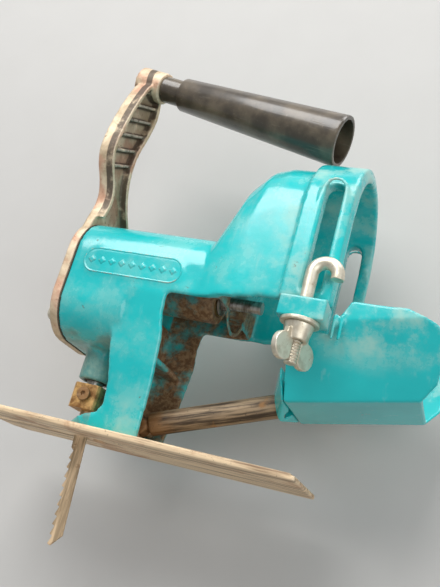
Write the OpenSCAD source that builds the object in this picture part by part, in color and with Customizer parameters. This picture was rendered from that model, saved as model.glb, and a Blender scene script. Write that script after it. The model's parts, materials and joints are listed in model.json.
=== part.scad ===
// Jigsaw attachment for a hand-held electric drill.
// +X points to the drill, -X to the saw teeth, +Z up. The drive axis is the X axis.
// The origin is the middle of the recess that takes the nose of the drill.

/* [Casting] */
// Width of the gear head
head_w = 60; // [58:1:62]
// Height of the top of the gear head above the drive axis
head_top = 25; // [24:0.5:26]
// Depth of the gear head below the drive axis
head_drop = 36; // [35:0.5:37]
// Front face of the gear head, in front of the drill seat
head_front = 71.5; // [70:0.5:74]
// Corner radius of the gear head
head_r = 20; // [16:0.5:21]
// Wall of the casting
wall = 3; // [2.5:0.25:3.5]
// Radius of the drill seat
seat_r = 13; // [11:0.5:14]

/* [Shroud] */
// Outer radius of the arch over the drill
arch_r = 34.5; // [34:0.5:36]
// Height of the arch centre above the drive axis
arch_z = 36; // [32:1:37]
// Rear edge of the shroud
shroud_rear = 56; // [54:1:60]
// Lower edge of the shroud
shroud_low = -6; // [-8:0.5:-5]
// Thickness of the raised hoop round the rear of the arch
hoop_t = 3.5; // [2:0.5:4]
// Width of the clamping slots
slot_w = 8; // [7:0.5:9]
// Height of the top of the clamping slots
slot_top = 51; // [42:1:52]

/* [Saw] */
// Throw of the crank, half the stroke
crank_r = 4.5; // [3:0.25:4.5]
// Distance of the plunger in front of the drill seat
plunger_x = 55.5; // [55:0.25:56]
// Radius of the plunger rod
rod_r = 4; // [3.5:0.25:4.25]
// Width of the saw blade
blade_w = 6.4; // [5.5:0.1:6.8]
// Thickness of the saw blade
blade_t = 1.2; // [0.9:0.1:1.4]
// Height of the blade's point
blade_tip = -127; // [-135:1:-110]
// Distance from tooth to tooth
tooth_pitch = 4.3; // [3:0.1:5]

/* [Shoe] */
// Height of the top of the shoe
shoe_top = -75; // [-76:0.25:-75]
// Thickness of the shoe
shoe_t = 2.2; // [1.6:0.2:3]
// Width of the shoe
shoe_w = 50; // [46:1:56]
// Front end of the shoe
shoe_front = -104; // [-110:1:-95]
// Rear end of the shoe
shoe_rear = 55; // [50:1:58]

/* [Cradle] */
// Tilt of the cradle, raised to the rear
cradle_tilt = 11.5; // [10:0.5:12]
// Outer width of the cradle
cradle_w = 72; // [71:0.5:74]
// Thickness of the cradle's sheet steel
sheet_t = 1.5; // [1.2:0.1:2]
// Radius of the air tube
tube_r = 5.4; // [4.5:0.1:5.5]
// Radius of the hook bolts
bolt_r = 2.8; // [2.5:0.1:3]
// Pitch of the bolt's thread
thread_pitch = 1.27; // [1:0.01:1.5]

/* [Handle] */
// Front radius of the grip
grip_r1 = 8.5; // [7:0.5:10]
// Rear radius of the grip
grip_r2 = 13; // [11:0.5:14]
// Length of the grip's body
grip_len = 92; // [80:1:95]
// Droop of the grip towards the rear
grip_droop = 12.5; // [9:0.5:13]

/* [Hidden] */
$fn = 64;
eps = 0.01;
fit = 0.05;
half_w = head_w / 2;
case_rear = -39.5;
case_back = 3.5;
neck_low = -9;
leg_front = -39.5;
leg_rear = -20;
foot_z = shoe_top;
foot_half = 16;
foot_t = 3.5;
foot_screws = [-35, -26];
foot_screw_y = 8.5;
shaft_r = 4;
bush_r = 7;
boss_low = -51;
boss_high = -24;
boss_r = 8.5;
disc_r = 12;
disc_x = -50.6;
disc_t = 4;
pin_r = 2;
roller_r = 3.5;
yoke_x = -plunger_x - 4;
slip = 0.21 * crank_r;
slot_half = roller_r + slip + 0.1;
clamp_top = boss_low - 2;
clamp_low = clamp_top - 12;
blade_rake = 4.5;
blade_top = clamp_top - 3;
screw_z = -58.3;
pivot_x = -27;
pin_half = 16.4;
pivot_z = shoe_top + 8.8;
pivot_r = 2.2;
cover_t = 4.5;
gasket_t = 0.5;
cover_back = -head_front - gasket_t;
screw_y = 20;
screw_rise = 10;
arm_y = -12;
arm_z = 110;
bolt_x = 46.5;
bolt_y = cradle_w / 2 + 7.5;
ear_low = -17;
ear_high = -8;
bolt_end = -35.5;
cradle_x = 41.6;
cradle_z = -45.8;
cradle_floor = 40;
washer_t = 1.6;
washer_r = 8.2;
slot_x = 46;

// ---- Shared shapes ----

// Extrudes a flat shape drawn in Y and Z from x0 to x1.
module along_x(x0, x1) {
    translate([x0, 0, 0]) rotate([90, 0, 90]) linear_extrude(x1 - x0) children();
}

// Extrudes a flat shape drawn in X and Z across the middle plane.
module across_y(half) {
    translate([0, half, 0]) rotate([90, 0, 0]) linear_extrude(2 * half) children();
}

// Cylinder along X.
module rod_x(x0, x1, r) {
    translate([x0, 0, 0]) rotate([0, 90, 0]) cylinder(h = x1 - x0, r = r);
}

// Cylinder along Y.
module rod_y(y0, y1, r) {
    translate([0, y1, 0]) rotate([90, 0, 0]) cylinder(h = y1 - y0, r = r);
}

// Upright tube or disc with a round hole.
module ring(h, r_out, r_in) {
    difference() {
        cylinder(h = h, r = r_out);
        translate([0, 0, -eps]) cylinder(h = h + 2 * eps, r = r_in);
    }
}

// Rectangle with rounded corners, from corner [y0, z0] to corner [y1, z1].
module round_rect(y0, y1, z0, z1, r) {
    translate([y0 + r, z0]) square([y1 - y0 - 2 * r, z1 - z0]);
    translate([y0, z0 + r]) square([y1 - y0, z1 - z0 - 2 * r]);
    for (y = [y0 + r, y1 - r], z = [z0 + r, z1 - r]) translate([y, z]) circle(r);
}

// Arch with straight sides from z0 up to the centre height zc.
module arch(r, zc, z0) {
    translate([0, zc]) circle(r);
    translate([-r, z0]) square([2 * r, zc - z0]);
}

// Arch cut off flat at z0.
module cut_arch(r, zc, z0) {
    intersection() {
        arch(r, zc, z0);
        translate([-2 * r, z0]) square([4 * r, 4 * r]);
    }
}

// ---- Main casting ----

// Side outline of the leg with its toe and the curve into the neck.
module leg_side() {
    difference() {
        polygon([
            [-44, -20], [-42, -39], [leg_front, -52], [leg_front, -63], [-42, -66.5], [-47, -68],
            [-52, -71], [-54.5, foot_z], [leg_rear, foot_z], [leg_rear + 2, -50], [leg_rear + 2, -30],
            [leg_rear, -19], [leg_rear, neck_low], [-8, neck_low], [-8, 0], [-44, 0]
        ]);
        translate([-8, -20.5]) circle(11.5);
    }
}

// End outline of the leg, narrower at the foot.
module leg_end(inset) {
    w = half_w - inset;
    f = foot_half - inset;
    polygon([[-w, 5], [-w, -10], [-f, foot_z], [f, foot_z], [w, -10], [w, 5]]);
}

module head_outer() {
    along_x(-head_front, case_rear) round_rect(-half_w, half_w, -head_drop, head_top, head_r);
    along_x(case_rear - 1, -5) intersection() {
        round_rect(-half_w, half_w, -head_drop, head_top, head_r);
        translate([-half_w, neck_low]) square([head_w, head_top - neck_low]);
    }
}

module leg_outer() {
    intersection() {
        across_y(half_w) leg_side();
        along_x(-60, 0) leg_end(0);
    }
}

// Flared shell from the neck to the arch.
module flare(x0, r0, z0, x1, r1, z1, low) {
    hull() {
        along_x(x0, x0 + 0.5) cut_arch(r0, z0, low, $fn = 32);
        along_x(x1, x1 + 0.5) cut_arch(r1, z1, low, $fn = 32);
    }
}

module shroud_outer() {
    hull() {
        along_x(-6, -5.5) intersection() {
            round_rect(-half_w, half_w, -head_drop, head_top, head_r, $fn = 32);
            translate([-half_w, neck_low]) square([head_w, head_top - neck_low]);
        }
        along_x(4, 4.5) cut_arch(32.5, 26, shroud_low - 2, $fn = 32);
    }
    flare(4, 32.5, 26, 12, arch_r - 0.5, arch_z - 2, shroud_low - 1.5);
    flare(12, arch_r - 0.5, arch_z - 2, 20, arch_r, arch_z, shroud_low - 1);
    along_x(20, shroud_rear) cut_arch(arch_r, arch_z, shroud_low);
    along_x(33, shroud_rear - 1) cut_arch(arch_r + hoop_t, arch_z, shroud_low);
}

module shroud_inner() {
    flare(4.5, 29, 20, 18, arch_r - wall, arch_z, -30);
    along_x(18, shroud_rear + 5) cut_arch(arch_r - wall, arch_z, -30);
}

// Clamping slot outline.
module slot_shape(grow) {
    w = slot_w + 2 * grow;
    translate([slot_x, slot_top - slot_w / 2]) circle(d = w);
    translate([slot_x - w / 2, -2 - grow]) square([w, slot_top - slot_w / 2 + 2 + grow]);
}

module body_casting() color([0.05, 0.62, 0.62]) {
    difference() {
        union() {
            head_outer();
            leg_outer();
            shroud_outer();
            rod_x(-8, 4.5, seat_r + wall);
            // plain raised panel on each side of the head
            for (s = [-1, 1]) translate([-40, s * half_w, 0.5]) rotate([90, 0, 0])
                translate([0, 0, -0.5]) linear_extrude(1) round_rect(-25, 25, -6.5, 6.5, 6);
            // lip round each clamping slot
            for (s = [-1, 1]) translate([0, s * (arch_r + hoop_t), 0]) across_y(0.6) slot_shape(2);
        }
        // gear case
        along_x(-head_front - 1, case_rear - case_back)
            round_rect(-half_w + wall, half_w - wall, -head_drop + wall, head_top - wall, head_r - wall);
        // neck, open below
        along_x(case_rear, -8) intersection() {
            round_rect(-half_w + wall, half_w - wall, -head_drop, head_top - wall, head_r - wall);
            translate([-half_w, neck_low - 3]) square([head_w, head_w]);
        }
        // leg channel, open to the rear
        intersection() {
            across_y(half_w) difference() {
                translate([leg_front + wall, foot_z + foot_t]) square([40, 70]);
                translate([leg_front - 10, 0]) square([60, 40]);
            }
            along_x(-60, 5) leg_end(wall);
        }
        shroud_inner();
        across_y(60) slot_shape(0);
        // drill seat and shaft hole
        rod_x(-3, 30, seat_r);
        rod_x(-60, 0, bush_r);
        // blade and clamp notch in the toe
        translate([-60, -8.5, foot_z - 1]) cube([15, 17, 9]);
        // hole for the plunger guide
        translate([-plunger_x, 0, -60]) cylinder(h = 40, r = boss_r - eps);
        translate([pivot_x, 0, pivot_z]) rod_y(-pin_half, pin_half, pivot_r + fit);
        for (x = foot_screws, s = [-1, 1]) translate([x, s * foot_screw_y, foot_z - 1])
            cylinder(h = 8, r = 2.1);
    }
    // housing of the drive shaft
    difference() {
        union() {
            rod_x(case_rear - 1, -5, 11);
            translate([-22, 16, 4]) cylinder(h = head_top - wall - 3, r = 5);
            // cross rib in the leg channel
            intersection() {
                translate([leg_front + 2, -half_w, -38]) cube([15, head_w, wall]);
                along_x(-60, 5) leg_end(1);
            }
            // lugs inside the arch that locate the drill
            for (s = [-1, 1]) translate([51, s * (arch_r - wall - 0.5) - 1.5, 38]) cube([4.5, 3, 17]);
        }
        rod_x(-60, 20, bush_r);
        translate([-22, 16, 0]) cylinder(h = 14, r = 2 + fit);
    }
    // guide of the plunger
    difference() {
        translate([-plunger_x, 0, boss_low]) cylinder(h = boss_high - boss_low, r = boss_r);
        translate([-plunger_x, 0, boss_low - 1]) cylinder(h = boss_high - boss_low + 2, r = rod_r + 1.5);
    }
}

module neck_screw() color([0.75, 0.7, 0.62]) translate([-22, 16, 0]) {
    translate([0, 0, 1]) cylinder(h = 3, r = 4);
    translate([0, 0, 3]) cylinder(h = 9, r = 2);
}

// ---- Front cover with its arm ----

// Outline with its corners cut n times, which leaves a smooth curve.
function curved(p, n) = n == 0 ? p
    : curved([for (i = [0:len(p) - 1], t = [0.25, 0.75]) p[i] * (1 - t) + p[(i + 1) % len(p)] * t], n - 1);

// Outline of the arm in Y and Z, drawn in by i: foot, waist, wide middle and boss.
module arm_shape(i) {
    polygon(curved([
        [-26 + i, 14], [-22.5 + i, 26], [-19.5 + i, 35], [-21.5 + i, 43], [-31 + i, 52], [-34 + i, 60],
        [-31.5 + i, 75], [-26.5 + i, 92], [arm_y - 7 + i, arm_z - 1], [arm_y + 6.5 - i, arm_z - 1],
        [-1 - i, arm_z - 12], [-3.5 - i, 84], [-9.5 - i, 67], [-8.5 - i, 53], [-2 - i, 41],
        [10 - i, 30], [16 - i, 14]
    ], 2));
}

module front_cover() color([0.72, 0.66, 0.58]) difference() {
    union() {
        along_x(cover_back - cover_t, cover_back) {
            round_rect(-half_w, half_w, -head_drop, head_top, head_r);
            arm_shape(0);
        }
        along_x(cover_back - 1, cover_back + 4) difference() {
            intersection() {
                arm_shape(0);
                translate([-60, head_top + 1]) square([120, 120]);
            }
            arm_shape(2.5);
        }
        // diagonal ribs on the back of the arm
        for (z = [34:9:97]) intersection() {
            along_x(cover_back - 1, cover_back + 3) arm_shape(1);
            translate([cover_back - 1, -60, z]) rotate([28, 0, 0]) cube([4, 120, 1.6]);
        }
        grip_frame() rod_x(-9, 6, 8.2);
    }
    grip_frame() rod_x(-20, 20, 3 + fit);
    grip_frame() rod_x(-20, -5, 6.2);
    for (y = [-screw_y, screw_y], z = [-head_drop + screw_rise, head_top - screw_rise])
        translate([0, y, z]) rod_x(cover_back - 10, cover_back + 1, 2 + fit);
}

module cover_gasket() color([0.2, 0.17, 0.13])
    along_x(cover_back, cover_back + gasket_t) difference() {
        round_rect(-half_w, half_w, -head_drop, head_top, head_r);
        round_rect(-half_w + 6, half_w - 6, -head_drop + 6, head_top - 6, head_r - 6);
        for (y = [-screw_y, screw_y], z = [-head_drop + screw_rise, head_top - screw_rise]) translate([y, z]) circle(2.2);
    }

module cover_screws() color([0.7, 0.66, 0.6])
    for (y = [-screw_y, screw_y], z = [-head_drop + screw_rise, head_top - screw_rise]) translate([0, y, z]) {
        difference() {
            translate([cover_back - cover_t, 0, 0]) intersection() {
                sphere(r = 4);
                rod_x(-5, 0, 3.9);
            }
            translate([cover_back - cover_t - 5, -0.5, -5]) cube([2.4, 1, 10]);
        }
        rod_x(cover_back - cover_t - 0.5, cover_back + 0.2, 2);
    }

// ---- Grip: hollow tapered handle on a long bolt ----

// Places children on the grip's axis, which starts in the middle of the arm's boss.
module grip_frame() {
    translate([cover_back + 2.5, arm_y, arm_z]) rotate([0, grip_droop, 0]) children();
}

module grip() color([0.09, 0.07, 0.06]) grip_frame() difference() {
    union() {
        rod_x(6.1, 18, 6.8);
        translate([17.9, 0, 0]) rotate([0, 90, 0]) cylinder(h = grip_len, r1 = grip_r1, r2 = grip_r2);
    }
    rod_x(0, 120, 3 + fit);
    translate([28, 0, 0]) rotate([0, 90, 0])
        cylinder(h = grip_len, r1 = grip_r1 - 1.8, r2 = grip_r2 - 1.8);
}

module grip_bolt() color([0.6, 0.57, 0.52]) grip_frame() {
    rod_x(-7, 37, 3);
    translate([-9, 0, 0]) rotate([0, 90, 0]) cylinder(h = 4 - eps, r = 5.5, $fn = 6);
}

module grip_nut() color([0.6, 0.57, 0.52]) grip_frame() difference() {
    translate([28.1, 0, 0]) rotate([0, 90, 0]) cylinder(h = 5, r = 5.5, $fn = 6);
    rod_x(20, 40, 3 + fit);
}

// ---- Bushes, wiper, shoe and pivot ----

module bush_x(x0, x1) {
    difference() {
        rod_x(x0, x1, bush_r);
        rod_x(x0 - 1, x1 + 1, shaft_r + fit);
    }
}

module front_bush() color([0.65, 0.48, 0.22]) bush_x(case_rear - case_back, -31);
module rear_bush() color([0.65, 0.48, 0.22]) bush_x(-15, -5);

module plunger_ring(z0, z1) {
    translate([-plunger_x, 0, z0]) ring(z1 - z0, rod_r + 1.5, rod_r + fit);
}

module upper_plunger_bush() color([0.65, 0.48, 0.22]) plunger_ring(-36, boss_high);
module lower_plunger_bush() color([0.65, 0.48, 0.22]) plunger_ring(-48, -38);
module plunger_felt() color([0.25, 0.2, 0.15]) plunger_ring(boss_low + 0.3, -48);

module shoe() color([0.42, 0.34, 0.27]) difference() {
    union() {
        translate([shoe_front, -shoe_w / 2, shoe_top - shoe_t])
            cube([shoe_rear - shoe_front, shoe_w, shoe_t]);
        // rolled edge down each side
        for (s = [-1, 1]) translate([shoe_front + 2, s * (shoe_w / 2 - 0.8), shoe_top])
            rod_x(0, shoe_rear - shoe_front - 4, 0.9);
    }
    // blade slot, open at the front
    translate([shoe_front - 1, -2.2, shoe_top - 5]) cube([-45 - shoe_front, 4.4, 10]);
    translate([-45, 0, shoe_top - 5]) cylinder(h = 10, r = 4.5);
    // clipped front corners
    for (s = [-1, 1]) translate([shoe_front, s * shoe_w / 2, shoe_top]) rotate([0, 0, 45])
        cube([8, 8, 20], center = true);
    for (x = foot_screws, s = [-1, 1]) translate([x, s * foot_screw_y, shoe_top - 5]) {
        cylinder(h = 8, r = 2.1);
        cylinder(h = 5 - shoe_t + 1.4, r = 4.2);
    }
}

module shoe_screws() color([0.5, 0.45, 0.4])
    for (x = foot_screws, s = [-1, 1]) translate([x, s * foot_screw_y, shoe_top - shoe_t]) {
        difference() {
            cylinder(h = 1.4, r = 4.1);
            translate([-5, -0.5, -1]) cube([10, 1, 1.6]);
        }
        cylinder(h = 5, r = 2);
    }

module pivot_pin() color([0.45, 0.36, 0.28]) translate([pivot_x, 0, pivot_z]) {
    rod_y(-pin_half + 0.1, pin_half - 0.1, pivot_r);
}

// ---- Crank drive ----

module drive_shaft() color([0.62, 0.6, 0.58]) difference() {
    union() {
        rod_x(disc_x + disc_t, -0.5, shaft_r);
        rod_x(-1, 16, 3);
    }
    difference() {
        rod_x(-4.4, -3.4, 10);
        rod_x(-6, -2, shaft_r - 0.7);
    }
}

module crank_disc() color([0.55, 0.53, 0.5]) difference() {
    rod_x(disc_x, disc_x + disc_t, disc_r);
    translate([0, 0, crank_r]) rod_x(disc_x - 1, disc_x + disc_t - 0.5, pin_r);
}

module crank_pin() color([0.7, 0.68, 0.65]) translate([0, 0, crank_r])
    rod_x(yoke_x - 0.4, disc_x + disc_t - 0.5, pin_r);

module crank_roller() color([0.65, 0.48, 0.22]) translate([0, 0, crank_r]) difference() {
    rod_x(yoke_x, disc_x - 0.4, roller_r);
    rod_x(yoke_x - 1, disc_x + 1, pin_r);
}

module thrust_washer() color([0.65, 0.48, 0.22]) difference() {
    rod_x(disc_x + disc_t, case_rear - case_back - 0.1, 8.5);
    rod_x(disc_x, -30, shaft_r);
}

module shaft_clip() color([0.35, 0.33, 0.32]) translate([-4.3, 0, 0]) difference() {
    rod_x(0, 0.8, 6.5);
    rod_x(-1, 2, shaft_r - 0.6);
}

// ---- Plunger, clamp and blade ----

module plunger_rod() color([0.68, 0.66, 0.63]) translate([-plunger_x, 0, clamp_top])
    cylinder(h = crank_r - 10 - clamp_top, r = rod_r);

module yoke() color([0.58, 0.55, 0.5]) translate([yoke_x, 0, crank_r]) difference() {
    translate([0, -13, -10]) cube([disc_x - 0.6 - yoke_x, 26, 19]);
    translate([-1, -crank_r - roller_r - 1, -slot_half])
        cube([20, 2 * (crank_r + roller_r + 1), 2 * slot_half]);
}

module blade_clamp() color([0.72, 0.42, 0.16]) difference() {
    translate([-plunger_x - 7, -7, clamp_low]) cube([14, 14, clamp_top - clamp_low]);
    blade_frame() translate([-blade_w / 2 - 0.1, -blade_t / 2 - 0.05, clamp_low - screw_z - 2])
        cube([blade_w + 0.2, blade_t + 0.1, blade_top - clamp_low + 2.1]);
    translate([-plunger_x, 0, screw_z]) rod_y(-10, 0, 2 + fit);
    // bevelled vertical edges
    for (x = [-plunger_x - 7, -plunger_x + 7], s = [-1, 1]) translate([x, s * 7, clamp_low - 1])
        rotate([0, 0, 45]) translate([-0.9, -0.9, 0]) cube([1.8, 1.8, 20]);
}

// Places children in the frame of the blade, which leans forward towards the top.
module blade_frame() {
    translate([-plunger_x, 0, screw_z]) rotate([0, -blade_rake, 0]) children();
}

module saw_blade() color([0.5, 0.46, 0.42]) {
    teeth = 10;
    tip_rise = 5;
    tip = blade_tip - screw_z;
    tooth_d = 1.5;
    front = -blade_w / 2;
    back = blade_w / 2;
    top = blade_top - screw_z;
    blade_frame() across_y(blade_t / 2) polygon(concat(
        [[front, top], [front, tip + (teeth + 0.3) * tooth_pitch]],
        [for (i = [teeth - 1:-1:0], p = [[tooth_d, 1], [0, 0.15]])
            [front + p[0], tip + (i + p[1]) * tooth_pitch]],
        [[front + 1.4, tip], [back, tip + tip_rise], [back, top]]
    ));
}

module clamp_screw() color([0.4, 0.3, 0.2]) translate([-plunger_x, 0, screw_z]) difference() {
    union() {
        rod_y(-7.6, -blade_t / 2 - 0.1, 2);
        rod_y(-8.8, -7.1, 3.2);
    }
    translate([0, -8.8, 0]) rotate([90, 0, 0]) cylinder(h = 2.4, r = 1.3, center = true, $fn = 6);
}

// ---- Cradle under the drill ----

// Side outline of the cradle, from the ear down the front, along the bottom and up the rear.
module cradle_side() {
    polygon([
        [39.5, ear_low], [57, ear_low], [63.5, -2.5], [86.5, -1.7], [98, -5.5], [103.5, -9], [102, -27],
        [96.5, cradle_z + (96.5 - cradle_x) * tan(cradle_tilt)], [cradle_x, cradle_z], [40.2, -30]
    ]);
}

// End outline of the trough: upright sides that lean in to a narrower bottom.
module cradle_end(inset) {
    w = cradle_w / 2 - inset;
    b = cradle_floor / 2 - inset / 2;
    polygon([[-w, 80], [-w, 30], [-b, inset], [b, inset], [w, 30], [w, 80]]);
}

module tilted() {
    translate([cradle_x, 0, cradle_z]) rotate([0, -cradle_tilt, 0]) children();
}

module cradle_hood() color([0.1, 0.66, 0.66]) difference() {
    union() {
        intersection() {
            across_y(cradle_w / 2 + 1) cradle_side();
            tilted() difference() {
                along_x(-20, 90) cradle_end(0);
                along_x(sheet_t, 95) cradle_end(sheet_t);
            }
        }
        for (s = [-1, 1]) {
            translate([37, s * (cradle_w / 2 + 5.7) - 6.7, ear_low]) cube([19.5, 13.4, ear_high - ear_low]);
            // pressed ribs behind the bolt
            for (x = [58.5, 61.5]) translate([x, s * (cradle_w / 2), -20])
                cylinder(h = 11, r = 0.8, $fn = 24);
        }
    }
    for (s = [-1, 1]) translate([bolt_x, s * bolt_y, -40]) cylinder(h = 60, r = bolt_r + 0.2);
    // air inlet
    tilted() translate([0, 0, 8]) rod_x(-12, 4, tube_r - 1);
    // opening between the front lugs
    translate([30, -27, -28]) cube([16, 54, 40]);
}

module tube_line() {
    rise = atan2(cradle_z + 1 - pivot_z, 32 - pivot_x);
    translate([pivot_x, 0, pivot_z]) rotate([0, -rise, 0]) children();
}

module air_tube() color([0.3, 0.24, 0.2]) difference() {
    union() {
        tube_line() rod_x(6, 68, tube_r);
        tube_line() rod_y(-4, 4, 4.8);
        tube_line() translate([2, -3, -3]) cube([6, 6, 6]);
    }
    tube_line() rod_x(9, 80, tube_r - 1);
    tube_line() rod_y(-30, 30, pivot_r + fit);
}

// Folded funnel that carries the air tube into the cradle.
module tube_funnel() color([0.1, 0.6, 0.6]) difference() {
    hull() {
        tilted() along_x(-0.6, -0.1) polygon([[-20, 0.5], [20, 0.5], [25, 9], [25, 14], [-25, 14], [-25, 9]]);
        tube_line() rod_x(65.5, 66.5, tube_r + 1.5, $fn = 32);
    }
    tube_line() rod_x(40, 90, tube_r + fit);
}

// ---- Hook bolts, washers and wing nuts ----

module hook_bolt(s) {
    hook_r = 5.4;
    hook_z = 4;
    core = bolt_r - 0.55;
    turns = floor((ear_low - 4 - bolt_end) / thread_pitch);
    translate([bolt_x, s * bolt_y, 0]) {
        translate([0, 0, bolt_end + turns * thread_pitch])
            cylinder(h = hook_z - bolt_end - turns * thread_pitch, r = bolt_r);
        translate([0, 0, bolt_end]) rotate_extrude() polygon(concat(
            [[0, 0]],
            [for (i = [0:turns - 1], p = [[core, 0], [bolt_r, 0.5]]) [p[0], (i + p[1]) * thread_pitch]],
            [[core, turns * thread_pitch], [0, turns * thread_pitch]]
        ));
        translate([hook_r, 0, hook_z]) rotate([90, 0, 0])
            rotate_extrude(angle = 180) translate([hook_r, 0]) circle(bolt_r);
        translate([2 * hook_r, 0, hook_z - 1.5]) cylinder(h = 1.5, r = bolt_r);
    }
}

module washer(s) {
    translate([bolt_x, s * bolt_y, ear_low - washer_t - 0.1]) ring(washer_t, washer_r, bolt_r + 0.1);
}

module wing_nut(s) {
    top = ear_low - washer_t - 0.2;
    translate([bolt_x, s * bolt_y, top]) rotate([0, 0, -s * 65]) difference() {
        union() {
            translate([0, 0, -7]) cylinder(h = 7, r1 = 4.8, r2 = 6.4);
            for (a = [0, 180]) rotate([0, 0, a]) translate([7, 1.3, -11.2]) rotate([90, 0, 0]) {
                cylinder(h = 2.6, r = 5.7);
                translate([-3, 0, 0]) cube([3, 8, 2.6]);
            }
        }
        translate([0, 0, -20]) cylinder(h = 30, r = bolt_r + fit);
    }
}

module hook_bolt_left() color([0.82, 0.76, 0.64]) hook_bolt(-1);
module hook_bolt_right() color([0.82, 0.76, 0.64]) hook_bolt(1);
module washer_left() color([0.82, 0.76, 0.64]) washer(-1);
module washer_right() color([0.82, 0.76, 0.64]) washer(1);
module wing_nut_left() color([0.8, 0.78, 0.72]) wing_nut(-1);
module wing_nut_right() color([0.8, 0.78, 0.72]) wing_nut(1);

body_casting();
neck_screw();
front_cover();
cover_gasket();
cover_screws();
grip();
grip_bolt();
grip_nut();
front_bush();
rear_bush();
upper_plunger_bush();
lower_plunger_bush();
plunger_felt();
shoe();
shoe_screws();
pivot_pin();
drive_shaft();
crank_disc();
crank_pin();
crank_roller();
thrust_washer();
shaft_clip();
plunger_rod();
yoke();
blade_clamp();
saw_blade();
clamp_screw();
cradle_hood();
air_tube();
tube_funnel();
hook_bolt_left();
hook_bolt_right();
washer_left();
washer_right();
wing_nut_left();
wing_nut_right();
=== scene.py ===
import json
import math

import bpy
from mathutils import Matrix, Vector

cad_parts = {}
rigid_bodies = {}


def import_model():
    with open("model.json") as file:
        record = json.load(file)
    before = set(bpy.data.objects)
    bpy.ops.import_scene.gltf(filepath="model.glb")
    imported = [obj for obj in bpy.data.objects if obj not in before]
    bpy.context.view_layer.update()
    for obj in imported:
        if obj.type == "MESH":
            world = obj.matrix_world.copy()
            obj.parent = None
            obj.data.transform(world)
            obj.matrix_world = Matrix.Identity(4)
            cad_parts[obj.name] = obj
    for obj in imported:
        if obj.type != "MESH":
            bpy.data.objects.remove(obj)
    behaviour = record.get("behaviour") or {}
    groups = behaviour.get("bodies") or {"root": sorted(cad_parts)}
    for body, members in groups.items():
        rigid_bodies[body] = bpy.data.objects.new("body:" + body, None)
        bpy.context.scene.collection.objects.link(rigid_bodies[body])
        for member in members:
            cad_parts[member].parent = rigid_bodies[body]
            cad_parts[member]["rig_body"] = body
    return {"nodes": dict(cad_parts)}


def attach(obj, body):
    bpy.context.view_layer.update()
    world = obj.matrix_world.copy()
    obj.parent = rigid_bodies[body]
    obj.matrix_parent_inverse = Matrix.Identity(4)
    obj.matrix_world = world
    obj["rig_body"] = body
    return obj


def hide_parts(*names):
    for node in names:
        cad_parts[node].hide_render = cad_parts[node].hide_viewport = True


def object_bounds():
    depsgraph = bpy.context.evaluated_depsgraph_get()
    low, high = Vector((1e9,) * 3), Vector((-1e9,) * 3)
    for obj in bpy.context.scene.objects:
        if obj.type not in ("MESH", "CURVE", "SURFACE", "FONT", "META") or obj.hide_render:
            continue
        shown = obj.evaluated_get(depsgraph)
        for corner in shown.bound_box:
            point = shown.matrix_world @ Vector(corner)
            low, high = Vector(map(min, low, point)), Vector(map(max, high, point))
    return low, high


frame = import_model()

cad_low, cad_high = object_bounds()


# ---- Body casting ----
# One die casting of zinc alloy holds the gear case, the leg and the shroud round the drill.
# Its edges are rounded by the die, and it is sprayed with thick teal enamel, now chipped and
# dusty outside and brown with old grease and sawdust in its hollows.

class Pattern:
    """A number that changes over a surface. Arithmetic on it adds Math nodes."""

    def __init__(self, finish, socket):
        self.finish = finish
        self.socket = socket

    def _math(self, operation, *values):
        return self.finish.number("ShaderNodeMath", {"operation": operation}, dict(enumerate(values)))

    def __add__(self, other):
        return self._math("ADD", self, other)

    def __sub__(self, other):
        return self._math("SUBTRACT", self, other)

    def __rsub__(self, other):
        return self._math("SUBTRACT", other, self)

    def __mul__(self, other):
        return self._math("MULTIPLY", self, other)

    __radd__ = __add__
    __rmul__ = __mul__

    def __abs__(self):
        return self._math("ABSOLUTE", self)

    def most(self, other):
        return self._math("MAXIMUM", self, other)

    def least(self, other):
        return self._math("MINIMUM", self, other)

    def rise(self, low, high):
        """0 below low, 1 above high, smooth between. With low above high it falls instead."""
        inputs = {"Value": self, "From Min": low, "From Max": high}
        return self.finish.number("ShaderNodeMapRange", {"interpolation_type": "SMOOTHSTEP"}, inputs)


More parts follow.
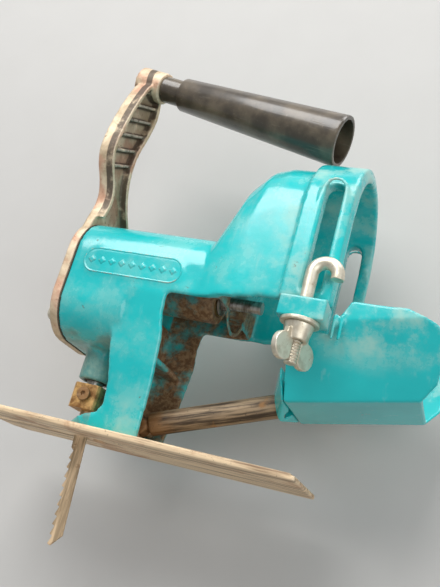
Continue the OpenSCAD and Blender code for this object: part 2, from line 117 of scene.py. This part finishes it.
class Finish:
    """One surface finish and the nodes that make it."""

    def __init__(self, name):
        self.material = bpy.data.materials.new(name)
        self.material.use_nodes = True
        self.tree = self.material.node_tree
        self.shader = self.tree.nodes["Principled BSDF"]
        self.place = self.node("ShaderNodeTexCoord").outputs["Object"]

    def node(self, kind, settings={}, inputs={}):
        """Adds a node, sets its settings, then fills its inputs with values or links."""
        made = self.tree.nodes.new(kind)
        for name, value in settings.items():
            setattr(made, name, value)
        for key, value in inputs.items():
            self.fill(made.inputs[key], value)
        return made

    def fill(self, socket, value):
        if isinstance(value, Pattern):
            value = value.socket
        if isinstance(value, bpy.types.NodeSocket):
            self.tree.links.new(value, socket)
        else:
            socket.default_value = value

    def number(self, kind, settings, inputs, out=0):
        return Pattern(self, self.node(kind, settings, inputs).outputs[out])

    def stretched(self, x, y, z, turn=(0, 0, 0)):
        """Object coordinates scaled along each axis, for a pattern with a direction."""
        inputs = {"Vector": self.place, "Scale": (1 / x, 1 / y, 1 / z), "Rotation": turn}
        return self.node("ShaderNodeMapping", {"vector_type": "TEXTURE"}, inputs).outputs[0]

    def noise(self, size, detail=3.0, rough=0.55, at=None, warp=0.0):
        """Cloudy noise whose blotches are about size metres across."""
        inputs = {"Vector": at or self.place, "Scale": 0.7 / size, "Detail": detail, "Roughness": rough,
                  "Distortion": warp}
        return self.number("ShaderNodeTexNoise", {}, inputs)

    def along(self, axis):
        """Position on the piece along one axis, in metres."""
        return self.number("ShaderNodeSeparateXYZ", {}, {0: self.place}, "XYZ".index(axis))

    def edges(self, low=0.52, high=0.6):
        """1 on outer edges, where a surface is rubbed, and where the bare alloy also gets a painted highlight.
        """
        return self.number("ShaderNodeNewGeometry", {}, {}, "Pointiness").rise(low, high)

    def corners(self, low=0.48, high=0.42):
        """1 in inner corners, where dirt stays."""
        return self.number("ShaderNodeNewGeometry", {}, {}, "Pointiness").rise(low, high)

    def blend(self, under, over, mask):
        """One colour over another, where mask is 1."""
        colours = {6: self.colour(under), 7: self.colour(over)}
        return self.node("ShaderNodeMix", {"data_type": "RGBA"}, {0: mask, **colours}).outputs[2]

    def colour(self, value):
        return (*value, 1.0) if isinstance(value, tuple) else value

    def coat(self, colour, rough, metal=0.0, bumps=(), varnish=0.0):
        """Fills the shader. bumps are (height pattern, depth in metres) from coarse to fine."""
        self.fill(self.shader.inputs["Base Color"], self.colour(colour))
        self.fill(self.shader.inputs["Roughness"], rough)
        self.fill(self.shader.inputs["Metallic"], metal)
        if varnish:
            self.shader.inputs["Coat Weight"].default_value = varnish
            self.shader.inputs["Coat Roughness"].default_value = 0.12
        under = None
        for height, depth in bumps:
            inputs = {"Height": height, "Distance": depth, "Strength": 1.0}
            if under:
                inputs["Normal"] = under
            under = self.node("ShaderNodeBump", {}, inputs).outputs[0]
        if under:
            self.tree.links.new(under, self.shader.inputs["Normal"])

    def dress(self, *pieces):
        for piece in pieces:
            piece.data.materials.clear()
            piece.data.materials.append(self.material)


def round_over(piece, voxel, passes):
    """Remeshes the active piece and smooths it, which rounds its edges."""
    remesh = piece.modifiers.new("remesh", "REMESH")
    remesh.mode = "VOXEL"
    remesh.voxel_size = voxel
    bpy.ops.object.modifier_apply(modifier="remesh")
    smooth = piece.modifiers.new("smooth", "SMOOTH")
    smooth.factor = 0.5
    smooth.iterations = passes
    bpy.ops.object.modifier_apply(modifier="smooth")
    bpy.ops.object.shade_smooth()


def softened(name, node, voxel, passes):
    """A merged copy of a CAD node, remeshed and smoothed, which rounds its edges as casting
    or pressing does. It rides on the node's body and stands for the node."""
    bpy.ops.object.select_all(action="DESELECT")
    source = frame["nodes"][node]
    body = source["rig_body"]
    piece = source.copy()
    piece.data = source.data.copy()
    for key in [k for k in piece.keys() if k.startswith("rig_")]:
        del piece[key]
    piece.name = name
    piece.data.name = name
    piece.parent = None
    bpy.context.scene.collection.objects.link(piece)
    piece.select_set(True)
    bpy.context.view_layer.objects.active = piece
    bpy.ops.object.mode_set(mode="EDIT")
    bpy.ops.mesh.select_all(action="SELECT")
    bpy.ops.mesh.remove_doubles(threshold=1e-6)
    bpy.ops.object.mode_set(mode="OBJECT")
    round_over(piece, voxel, passes)
    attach(piece, body)
    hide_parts(node)
    return piece


def enamel(name, dusty, hollows=None, worn=0.54):
    """Teal gloss enamel. dusty and hollows take the finish and return masks of the dusty and
    the grimy places. Edges sharper than worn are rubbed to bare metal."""
    paint = Finish(name)
    tone = paint.noise(0.035, 3).rise(0.3, 0.7)
    colour = paint.blend((0.003, 0.42, 0.43), (0.01, 0.53, 0.53), tone)
    cloud = paint.noise(0.012, 6, 0.65)
    film = dusty(paint) * cloud.rise(0.42, 0.68)
    colour = paint.blend(colour, (0.50, 0.62, 0.50), film * 0.55)
    streak = paint.noise(0.004, 3, at=paint.stretched(1.0, 1.0, 0.15)).rise(0.62, 0.75)
    colour = paint.blend(colour, (0.30, 0.60, 0.56), streak * 0.25)
    grain = paint.noise(0.0016, 4, 0.7)
    rubbed = paint.edges(worn, worn + 0.06) * grain.rise(0.46, 0.58)
    colour = paint.blend(colour, (0.42, 0.36, 0.26), rubbed * 0.8)
    chips = paint.noise(0.006, 5, 0.7, warp=0.6).rise(0.69, 0.72)
    colour = paint.blend(colour, (0.20, 0.085, 0.03), chips * 0.9)
    caked = paint.corners() * grain.rise(0.45, 0.6) * 0.5
    if hollows:
        caked = (hollows(paint) * cloud.rise(0.30, 0.52)).most(caked)
    dirt = paint.blend((0.17, 0.085, 0.035), (0.36, 0.22, 0.11), grain.rise(0.4, 0.65))
    colour = paint.blend(colour, dirt, caked)
    rough = 0.16 + film * 0.3 + rubbed * 0.3 + caked * 0.6 + paint.noise(0.003, 3) * 0.08
    peel = paint.noise(0.0022, 2)
    paint.coat(colour, rough, 0.0, [(peel, 0.00006), (0.6 * (1 - chips) + caked * grain, 0.0003)], 0.35)
    return paint


def casting_hollows(paint):
    """The leg's channel, the neck's hollow and the guide of the plunger."""
    wall_top, wall_half, wall_taper = -0.010, 0.0286, 0.2154
    x, y, z = (paint.along(a) for a in "XYZ")
    wobble = (paint.noise(0.01, 4) - 0.5) * 0.02
    wall_y = wall_half + (z - wall_top).least(0.0) * wall_taper
    inside = (abs(y) - wall_y).rise(0.0003, -0.0006) * x.rise(-0.0385, -0.0375)
    channel = inside * (x + wobble).rise(0.024, 0.012) * z.rise(0.008, 0.002)
    guide = x.rise(-0.0435, -0.0445) * (z + wobble).rise(-0.033, -0.037)
    return channel.most(guide * 0.45)


def casting_dust(paint):
    """Dust on the shroud and the foot of the leg, and a little everywhere."""
    x, z = paint.along("X"), paint.along("Z")
    shroud = x.rise(0.012, 0.036) * 0.9
    foot = z.rise(-0.05, -0.066)
    return shroud.most(foot * 0.9).most(0.35 + paint.corners() * 0.5)


casting = softened("casting_shell", "body_casting", 0.00105, 5)
casting_paint = enamel("casting_enamel", casting_dust, casting_hollows)
casting_paint.dress(casting)


# ---- Raised panels ----
# A long panel with a rim and a row of small diamonds is cast on each side of the head, under
# the same enamel, which is rubbed off wherever it stands proud.

def chosen(piece, kind, test):
    """Selects the faces or edges of a piece that pass a test, ready for an edit."""
    bpy.ops.mesh.select_mode(type=kind)
    bpy.ops.mesh.select_all(action="DESELECT")
    bpy.ops.object.mode_set(mode="OBJECT")
    for part in piece.data.polygons if kind == "FACE" else piece.data.edges:
        part.select = test(part)
    bpy.ops.object.mode_set(mode="EDIT")


def side_panel(name, side):
    """One panel, made flat at the origin and then stood against the side of the head."""
    length, height, proud, end_r = 0.050, 0.0125, 0.0018, 0.006
    rim, sunk = 0.0013, 0.0006
    diamonds, pitch, diamond_r, top_r, diamond_high = 9, 0.0052, 0.0031, 0.0014, 0.001
    middle_x, middle_z, head_half = -0.0405, 0.0006, 0.0300
    bpy.ops.object.select_all(action="DESELECT")
    bpy.ops.mesh.primitive_cube_add(size=1)
    panel = bpy.context.object
    bpy.ops.object.mode_set(mode="EDIT")
    bpy.ops.mesh.select_all(action="SELECT")
    bpy.ops.transform.resize(value=(length, height, proud))
    points = panel.data.vertices
    chosen(panel, "EDGE", lambda e: points[e.vertices[0]].co.z * points[e.vertices[1]].co.z < 0)
    bpy.ops.mesh.bevel(offset=end_r, segments=10, affect="EDGES")
    chosen(panel, "FACE", lambda f: f.normal.z > 0.9)
    bpy.ops.mesh.inset(thickness=rim)
    bpy.ops.transform.translate(value=(0, 0, -sunk))
    bpy.ops.object.mode_set(mode="OBJECT")
    for count in range(diamonds):
        place = ((count - diamonds // 2) * pitch, 0, diamond_high / 2)
        bpy.ops.mesh.primitive_cone_add(
            vertices=4, radius1=diamond_r, radius2=top_r, depth=diamond_high, location=place)
        bpy.context.object.select_set(True)
        panel.select_set(True)
        bpy.context.view_layer.objects.active = panel
        bpy.ops.object.join()
    panel.name = name
    panel.data.name = name
    round_over(panel, 0.0003, 2)
    upright = Matrix.Rotation(-side * math.pi / 2, 4, "X")
    panel.data.transform(Matrix.Translation((middle_x, side * head_half, middle_z)) @ upright)
    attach(panel, "housing")
    return panel


panel_paint = enamel("panel_enamel", casting_dust, worn=0.505)
panel_paint.dress(side_panel("panel_left", -1), side_panel("panel_right", 1))


# ---- Front cover and arm ----
# The cover is an unpainted die casting, screwed over the gear case, and its arm rises to hold
# the grip. The bare alloy is stained brown and cream by handling and damp. The arm's back
# recess is darkened with painted shade, and the rubbed edges are painted pale cream, partly
# as wear and partly as a painted highlight.

cover = softened("cover_casting", "front_cover", 0.00062, 5)
bare = Finish("bare_alloy")
blotch = bare.noise(0.012, 5, 0.65, warp=0.5)
colour = bare.blend((0.46, 0.35, 0.22), (0.80, 0.65, 0.46), blotch.rise(0.35, 0.65))
across = bare.along("X")
# Painted shade: a narrow band high on the back of the arm, where it is recessed.
recess_shade = across.rise(-0.0722, -0.0717) * across.rise(-0.0682, -0.0688)
recess_shade = recess_shade * bare.along("Z").rise(0.026, 0.03)
colour = bare.blend(colour, (0.50, 0.20, 0.12), bare.noise(0.012, 4).rise(0.5, 0.64) * 0.6)
# Painted shade: the arm's back recess is darkened in patches, as if in shadow.
colour = bare.blend(colour, (0.07, 0.05, 0.035), recess_shade * bare.noise(0.005, 4).rise(0.3, 0.5) * 0.9)
pits = bare.noise(0.0015, 4, 0.7)
colour = bare.blend(colour, (0.09, 0.055, 0.03), bare.corners(0.485, 0.44) * 0.85)
colour = bare.blend(colour, (0.10, 0.06, 0.035), pits.rise(0.6, 0.7) * 0.7)
# Outer edges of the bare alloy are painted pale cream. This is partly rubbed wear and partly a painted
# highlight along the arm's front edge.
colour = bare.blend(colour, (0.82, 0.74, 0.6), bare.edges(0.52, 0.58) * pits.rise(0.35, 0.5) * 0.8)
bare.coat(colour, 0.42 + blotch * 0.25, 0.3, [(blotch, 0.0003), (pits, 0.00015)])
bare.dress(cover)


# ---- Screws, bolts, washers and wing nuts ----
# The hardware is zinc-plated steel, with rolled threads and pressed or cast wings. The plate
# has gone cream and grey, with brown in the threads.

plated = Finish("tarnished_zinc")
cloud = plated.noise(0.004, 4, 0.6)
colour = plated.blend((0.78, 0.73, 0.6), (0.58, 0.52, 0.40), cloud.rise(0.4, 0.65))
colour = plated.blend(colour, (0.22, 0.12, 0.05), plated.corners(0.49, 0.45) * 0.75)
stain = plated.noise(0.0012, 4, 0.7).rise(0.6, 0.72)
colour = plated.blend(colour, (0.30, 0.16, 0.07), stain * 0.6)
plated.coat(colour, 0.28 + cloud * 0.25 + stain * 0.2, 0.75 - 0.5 * stain, [(cloud, 0.0001)])
for node, voxel, passes in [
    ("hook_bolt_left", 0.00022, 2), ("hook_bolt_right", 0.00022, 2), ("washer_left", 0.00025, 2),
    ("washer_right", 0.00025, 2), ("wing_nut_left", 0.0003, 5), ("wing_nut_right", 0.0003, 5),
    ("cover_screws", 0.00025, 2), ("neck_screw", 0.00025, 2), ("grip_bolt", 0.0003, 2), ("grip_nut", 0.0003, 2),
]:
    piece = softened(node + "_plated", node, voxel, passes)
    plated.dress(piece)


# ---- Grip ----
# A hollow tapered handle of hard black-brown plastic, moulded in one piece with a stepped
# neck, and clamped to the arm by a long bolt. Its gloss is scratched along and round.

def turned(name, profile, start, tilt):
    """A round piece: profile lists (distance along the axis, radius), which is spun."""
    bpy.ops.object.select_all(action="DESELECT")
    bpy.ops.mesh.primitive_plane_add(size=0.001, location=(0, 0, 0))
    piece = bpy.context.object
    piece.name = name
    piece.data.name = name
    bpy.ops.object.mode_set(mode="EDIT")
    bpy.ops.mesh.select_mode(type="VERT")
    bpy.ops.mesh.select_all(action="SELECT")
    bpy.ops.mesh.merge(type="CENTER")
    bpy.ops.transform.translate(value=(profile[0][0], 0, profile[0][1]))
    for before, after in zip(profile, profile[1:]):
        step = (after[0] - before[0], 0, after[1] - before[1])
        bpy.ops.mesh.extrude_region_move(TRANSFORM_OT_translate={"value": step})
    bpy.ops.mesh.select_all(action="SELECT")
    bpy.ops.mesh.spin(steps=96, angle=2 * math.pi, center=(0, 0, 0), axis=(1, 0, 0))
    bpy.ops.mesh.select_all(action="SELECT")
    bpy.ops.mesh.remove_doubles(threshold=1e-6)
    bpy.ops.mesh.normals_make_consistent(inside=False)
    bpy.ops.object.mode_set(mode="OBJECT")
    piece.data.transform(Matrix.Translation(start) @ Matrix.Rotation(math.radians(tilt), 4, "Y"))
    bpy.ops.object.shade_smooth_by_angle(angle=math.radians(40))
    return piece


grip_start = Vector((-0.0695, -0.012, 0.110))
grip_droop = 12.5
bolt_hole, floor_x = 0.0031, 0.0281
neck = [(0.0061, bolt_hole), (0.0061, 0.0064), (0.0065, 0.0068), (0.0172, 0.0068), (0.0176, 0.0072)]
body = [(0.0180, 0.0083), (0.0186, 0.0086), (0.1079, 0.0128), (0.1090, 0.0129), (0.1097, 0.0126)]
mouth = [(0.1099, 0.0119), (0.1099, 0.0112), (0.1096, 0.0108)]
hollow = [(floor_x, 0.0068), (floor_x, bolt_hole), neck[0]]
grip = turned("grip_handle", neck + body + mouth + hollow, grip_start, grip_droop)
plastic = Finish("handle_plastic")
lengthwise = plastic.stretched(0.06, 1.0, 1.0, (0, math.radians(grip_droop), 0))
scratch = plastic.noise(0.0007, 3, 0.6, at=lengthwise).rise(0.60, 0.72)
haze = plastic.noise(0.012, 4, 0.6)
colour = plastic.blend((0.045, 0.034, 0.022), (0.13, 0.10, 0.065), haze.rise(0.4, 0.7))
colour = plastic.blend(colour, (0.22, 0.18, 0.13), scratch * 0.35)
dust = plastic.noise(0.0015, 4, 0.7).rise(0.64, 0.74)
colour = plastic.blend(colour, (0.35, 0.28, 0.2), dust * 0.3)
plastic.coat(colour, 0.26 + haze * 0.2 + scratch * 0.2, 0.0, [(scratch, 0.00004), (haze, 0.0001)], 0.5)
plastic.dress(grip)
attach(grip, "housing")
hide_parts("grip")


# ---- Shoe ----
# A flat steel plate with a rolled edge down each side, countersunk for four screws. It slides on
# the board, so it is polished along its length, with rust where it was left damp.

shoe = softened("shoe_plate", "shoe", 0.00062, 2)
rust = Finish("worn_rusty_steel")
drawn = rust.noise(0.0022, 5, 0.65, at=rust.stretched(0.05, 1.0, 1.0))
blotch = rust.noise(0.018, 5, 0.65, warp=0.6)
colour = rust.blend((0.24, 0.15, 0.085), (0.80, 0.61, 0.39), drawn.rise(0.34, 0.56))
colour = rust.blend(colour, (0.42, 0.20, 0.09), blotch.rise(0.52, 0.66) * 0.7)
colour = rust.blend(colour, (0.70, 0.58, 0.42), rust.edges(0.52, 0.58) * 0.7)
fleck = rust.noise(0.0012, 4, 0.75)
colour = rust.blend(colour, (0.06, 0.035, 0.02), fleck.rise(0.62, 0.72) * 0.8)
rust.coat(colour, 0.42 + blotch * 0.35, 0.3 - 0.2 * blotch.rise(0.5, 0.65),
          [(drawn, 0.00012), (fleck, 0.00012)])
rust.dress(shoe)
for node in ("shoe_screws", "pivot_pin"):
    piece = softened(node + "_worn", node, 0.00025, 2)
    rust.dress(piece)


# ---- Air tube ----
# A length of thin steel tube with a flattened eye at the leg. It is unpainted and has rusted
# dark, with the marks of its drawing along it.

tube_rise = 19
tube = softened("air_tube_pipe", "air_tube", 0.00055, 4)
pipe = Finish("dark_rusty_tube")
drawn = pipe.noise(0.0014, 4, 0.6, at=pipe.stretched(0.06, 1.0, 1.0, (0, -math.radians(tube_rise), 0)))
blotch = pipe.noise(0.009, 5, 0.65)
near_leg = pipe.along("X").rise(-0.002, -0.024)
rusty = (near_leg * blotch.rise(0.35, 0.55)).most(blotch.rise(0.6, 0.7))
colour = pipe.blend((0.06, 0.042, 0.028), (0.36, 0.26, 0.16), drawn.rise(0.38, 0.62))
colour = pipe.blend(colour, (0.34, 0.17, 0.06), rusty * 0.8)
fleck = pipe.noise(0.0011, 4, 0.75)
colour = pipe.blend(colour, (0.03, 0.02, 0.012), fleck.rise(0.6, 0.7) * 0.7)
pipe.coat(colour, 0.45 + blotch * 0.3, 0.35, [(drawn, 0.0001), (fleck, 0.00015)])
pipe.dress(tube)


# ---- Cradle and funnel ----
# The cradle is pressed from sheet steel, with folded ears for the hook bolts, and a folded
# funnel brings the air tube in. It has the casting's teal enamel, dusty along its upper half.

def cradle_dust(paint):
    """Dust on the half that lies uppermost."""
    z = paint.along("Z")
    return (z + (paint.noise(0.02, 3) - 0.5) * 0.02).rise(-0.03, -0.014)


sheet_paint = enamel("sheet_enamel", cradle_dust)
for node in ("cradle_hood", "tube_funnel"):
    piece = softened(node + "_sheet", node, 0.00062, 6)
    sheet_paint.dress(piece)


# ---- Saw blade ----
# A coarse wood blade, stamped from strip steel, with its teeth to the front. It is dull and
# brown from the forge and from sap.

blade = softened("saw_blade_strip", "saw_blade", 0.0002, 1)
strip = Finish("worn_blade")
drawn = strip.noise(0.0012, 4, 0.6, at=strip.stretched(1.0, 1.0, 0.08))
blotch = strip.noise(0.005, 5, 0.7)
colour = strip.blend((0.36, 0.26, 0.155), (0.72, 0.53, 0.33), drawn.rise(0.36, 0.62))
colour = strip.blend(colour, (0.28, 0.14, 0.06), blotch.rise(0.56, 0.68) * 0.7)
colour = strip.blend(colour, (0.75, 0.62, 0.44), strip.edges(0.53, 0.6) * 0.6)
strip.coat(colour, 0.38 + blotch * 0.3, 0.35, [(drawn, 0.00008), (blotch, 0.0001)])
strip.dress(blade)


# ---- Blade clamp ----
# A block on the end of the plunger, brass-coloured, slotted for the blade, which one socket
# screw of dark steel holds.

clamp = softened("blade_clamp_block", "blade_clamp", 0.00028, 3)
brassy = Finish("stained_brass")
blotch = brassy.noise(0.004, 5, 0.65)
colour = brassy.blend((0.24, 0.11, 0.035), (0.66, 0.40, 0.15), blotch.rise(0.35, 0.6))
colour = brassy.blend(colour, (0.07, 0.04, 0.02), brassy.corners(0.49, 0.45) * 0.8)
colour = brassy.blend(colour, (0.80, 0.58, 0.30), brassy.edges(0.52, 0.6) * 0.7)
brassy.coat(colour, 0.32 + blotch * 0.3, 0.6, [(blotch, 0.00015)])
brassy.dress(clamp)
socket_screw = softened("clamp_screw_worn", "clamp_screw", 0.0002, 2)
pipe.dress(socket_screw)


# ---- Drive and plunger ----
# Turned and ground steel, with sintered bronze bushes, all wet with brown grease inside the
# case. The end of the rod shows between the guide and the clamp.

steel = Finish("oily_steel")
lathe = steel.noise(0.0006, 3, at=steel.stretched(1.0, 0.1, 0.1))
film = steel.noise(0.005, 4)
colour = steel.blend((0.36, 0.33, 0.29), (0.55, 0.52, 0.48), lathe.rise(0.4, 0.6))
colour = steel.blend(colour, (0.10, 0.06, 0.03), film.rise(0.5, 0.62) * 0.7)
steel.coat(colour, 0.24 + film * 0.3, 0.85, [(lathe, 0.00003)])
bronze = Finish("sintered_bronze")
pores = bronze.noise(0.0005, 3, 0.7)
film = bronze.noise(0.004, 4)
colour = bronze.blend((0.42, 0.26, 0.10), (0.58, 0.38, 0.16), pores.rise(0.4, 0.6))
colour = bronze.blend(colour, (0.08, 0.05, 0.025), film.rise(0.5, 0.64) * 0.7)
bronze.coat(colour, 0.4 + film * 0.2, 0.8, [(pores, 0.00004)])
felt = Finish("oily_felt")
fibres = felt.noise(0.0004, 4, 0.8)
colour = felt.blend((0.05, 0.035, 0.02), (0.16, 0.12, 0.08), fibres.rise(0.4, 0.6))
felt.coat(colour, 0.7 + fibres * 0.2, 0.0, [(fibres, 0.0002)])
for finish, nodes in (
    (steel, ("drive_shaft", "crank_disc", "crank_pin", "shaft_clip", "plunger_rod", "yoke")),
    (bronze, ("front_bush", "rear_bush", "upper_plunger_bush", "lower_plunger_bush", "crank_roller",
              "thrust_washer")),
    (felt, ("plunger_felt", "cover_gasket")),
):
    finish.dress(*(frame["nodes"][n] for n in nodes))


# ---- Floor, light and camera ----
# The tool lies on its side on a plain pale floor, under three soft lights.

floor_point = Vector((0.0, 0.056, 0.0))
floor_up = Vector((0.0, -1.0, 0.0))
bpy.ops.object.select_all(action="DESELECT")
bpy.ops.mesh.primitive_plane_add(size=3.0, location=(0, 0, 0))
floor = bpy.context.object
floor.name = "studio_floor"
floor.data.transform(Matrix.Translation(floor_point) @ floor_up.to_track_quat("Z", "Y").to_matrix().to_4x4())
pale = Finish("pale_floor")
grain = pale.noise(0.02, 3)
pale.coat(pale.blend((0.50, 0.49, 0.47), (0.53, 0.52, 0.50), grain), 0.85)
clear = pale.node("ShaderNodeBsdfTransparent").outputs[0]
back = pale.node("ShaderNodeNewGeometry").outputs["Backfacing"]
seen = pale.node("ShaderNodeMixShader", {}, {0: back, 1: pale.shader.outputs[0], 2: clear})
pale.tree.links.new(seen.outputs[0], pale.tree.nodes["Material Output"].inputs["Surface"])
pale.dress(floor)

middle = (cad_low + cad_high) / 2
for name, place, size, power in (
    ("key_light", (-0.30, -0.80, 0.80), 0.8, 14.0),
    ("fill_light", (0.75, -0.8, -0.15), 0.9, 5.0),
    ("top_light", (0.25, -0.1, 0.95), 0.5, 4.0),
):
    lamp = bpy.data.lights.new(name, "AREA")
    lamp.size = size
    lamp.energy = power
    holder = bpy.data.objects.new(name, lamp)
    bpy.context.scene.collection.objects.link(holder)
    holder.location = place
    holder.rotation_euler = (middle - Vector(place)).to_track_quat("-Z", "Y").to_euler()

world = bpy.data.worlds.new("studio_room")
world.use_nodes = True
world.node_tree.nodes["Background"].inputs["Color"].default_value = (0.95, 0.97, 1.0, 1.0)
world.node_tree.nodes["Background"].inputs["Strength"].default_value = 0.40
bpy.context.scene.world = world
bpy.context.scene.view_settings.view_transform = "Standard"

lens = bpy.data.cameras.new("camera")
lens.lens = 49.06
lens.sensor_width = 36.0
camera = bpy.data.objects.new("camera", lens)
bpy.context.scene.collection.objects.link(camera)
right, up, toward = (0.9281, 0.2644, 0.2621), (-0.1503, -0.3780, 0.9135), (0.3406, -0.8872, -0.3111)
turn = Matrix((right, up, toward)).transposed().to_4x4()
camera.matrix_world = Matrix.Translation((0.1243, -0.3410, -0.1153)) @ turn
bpy.context.scene.camera = camera
